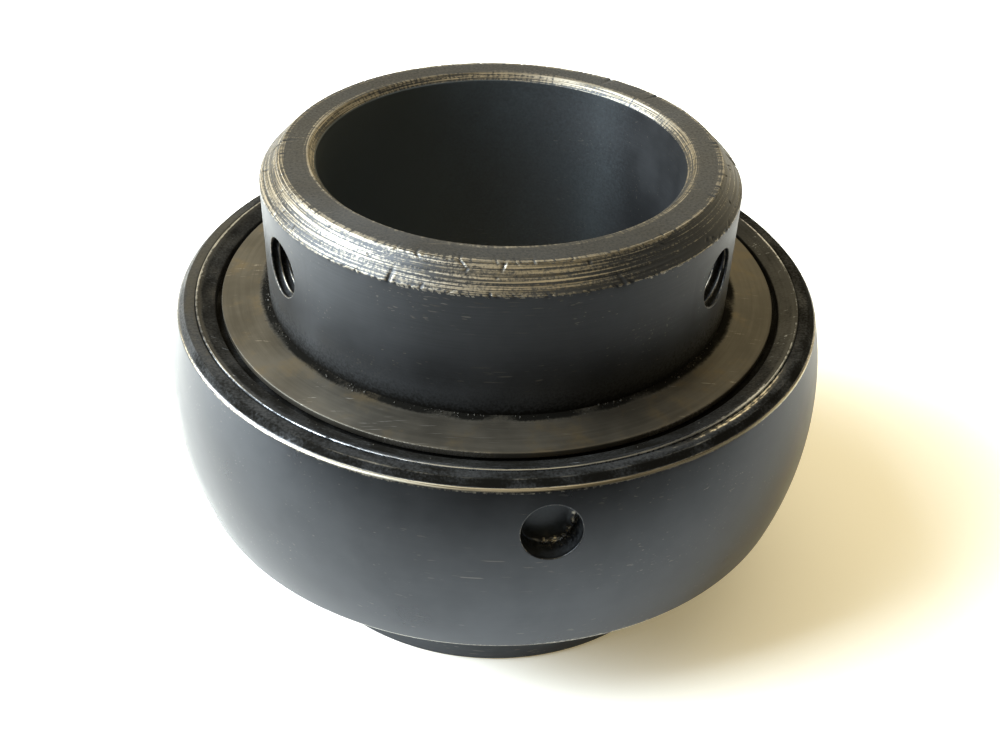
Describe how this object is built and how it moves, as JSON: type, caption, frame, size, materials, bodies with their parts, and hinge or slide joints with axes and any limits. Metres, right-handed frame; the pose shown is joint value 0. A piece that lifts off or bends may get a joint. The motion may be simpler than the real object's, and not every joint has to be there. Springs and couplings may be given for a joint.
{
  "type": "insert ball bearing",
  "caption": "Sealed insert ball bearing with a spherical outer ring and a wide inner ring clamped to its shaft by radial set screws.",
  "frame": {"origin": "centre of the spherical seat, on the shaft's axis, in the plane of the ball centres", "axes": "+Z along the shaft's axis towards the long, set-screw end of the inner ring; -Y midway between the two set-screw holes"},
  "size_m": [0.085, 0.085, 0.0589],
  "materials": {
    "blackened_seat": "black oxide, fine turned, worn bright at the edges",
    "blackened_bore": "black oxide, satin, the outer chamfer worn to bare steel",
    "ball_steel": "polished",
    "cage_steel": "pressed, plain",
    "rivet_steel": "cold headed",
    "flinger_steel": "satin, olive brown",
    "carrier_steel": "black oxide, rim rubbed bright",
    "seal_rubber": "matte"
  },
  "bodies": {
    "outer": {"outer_ring": "blackened_seat", "upper_seal_plate": "carrier_steel", "upper_seal": "seal_rubber", "lower_seal_plate": "carrier_steel", "lower_seal": "seal_rubber"},
    "inner": {"inner_ring": "blackened_bore", "upper_flinger": "flinger_steel", "lower_flinger": "flinger_steel"},
    "cage": {"cage_upper": "cage_steel", "cage_lower": "cage_steel", "cage_rivets": "rivet_steel"},
    "rolling_1": {"ball_1": "ball_steel"},
    "rolling_2": {"ball_2": "ball_steel"},
    "rolling_3": {"ball_3": "ball_steel"},
    "rolling_4": {"ball_4": "ball_steel"},
    "rolling_5": {"ball_5": "ball_steel"},
    "rolling_6": {"ball_6": "ball_steel"},
    "rolling_7": {"ball_7": "ball_steel"},
    "rolling_8": {"ball_8": "ball_steel"},
    "rolling_9": {"ball_9": "ball_steel"}
  },
  "joints": [
    {"name": "inner_spin", "type": "hinge", "parent": "outer", "child": "inner", "pos_m": [0, 0, 0], "axis": [0, 0, 1], "continuous": true},
    {"name": "cage_orbit", "type": "hinge", "parent": "outer", "child": "cage", "pos_m": [0, 0, 0], "axis": [0, 0, 1], "continuous": true},
    {"name": "ball_1_spin", "type": "hinge", "parent": "cage", "child": "rolling_1", "pos_m": [0.0325, 0, 0], "axis": [0, 0, 1], "continuous": true},
    {"name": "ball_2_spin", "type": "hinge", "parent": "cage", "child": "rolling_2", "pos_m": [0.0249, 0.02089, 0], "axis": [0, 0, 1], "continuous": true},
    {"name": "ball_3_spin", "type": "hinge", "parent": "cage", "child": "rolling_3", "pos_m": [0.00564, 0.03201, 0], "axis": [0, 0, 1], "continuous": true},
    {"name": "ball_4_spin", "type": "hinge", "parent": "cage", "child": "rolling_4", "pos_m": [-0.01625, 0.02815, 0], "axis": [0, 0, 1], "continuous": true},
    {"name": "ball_5_spin", "type": "hinge", "parent": "cage", "child": "rolling_5", "pos_m": [-0.03054, 0.01112, 0], "axis": [0, 0, 1], "continuous": true},
    {"name": "ball_6_spin", "type": "hinge", "parent": "cage", "child": "rolling_6", "pos_m": [-0.03054, -0.01112, 0], "axis": [0, 0, 1], "continuous": true},
    {"name": "ball_7_spin", "type": "hinge", "parent": "cage", "child": "rolling_7", "pos_m": [-0.01625, -0.02815, 0], "axis": [0, 0, 1], "continuous": true},
    {"name": "ball_8_spin", "type": "hinge", "parent": "cage", "child": "rolling_8", "pos_m": [0.00564, -0.03201, 0], "axis": [0, 0, 1], "continuous": true},
    {"name": "ball_9_spin", "type": "hinge", "parent": "cage", "child": "rolling_9", "pos_m": [0.0249, -0.02089, 0], "axis": [0, 0, 1], "continuous": true}
  ],
  "couplings": [
    {"joint": "cage_orbit", "follows": "inner_spin", "ratio": 0.40231},
    {"joint": "ball_1_spin", "follows": "inner_spin", "ratio": -2.4614},
    {"joint": "ball_2_spin", "follows": "inner_spin", "ratio": -2.4614},
    {"joint": "ball_3_spin", "follows": "inner_spin", "ratio": -2.4614},
    {"joint": "ball_4_spin", "follows": "inner_spin", "ratio": -2.4614},
    {"joint": "ball_5_spin", "follows": "inner_spin", "ratio": -2.4614},
    {"joint": "ball_6_spin", "follows": "inner_spin", "ratio": -2.4614},
    {"joint": "ball_7_spin", "follows": "inner_spin", "ratio": -2.4614},
    {"joint": "ball_8_spin", "follows": "inner_spin", "ratio": -2.4614},
    {"joint": "ball_9_spin", "follows": "inner_spin", "ratio": -2.4614}
  ]
}
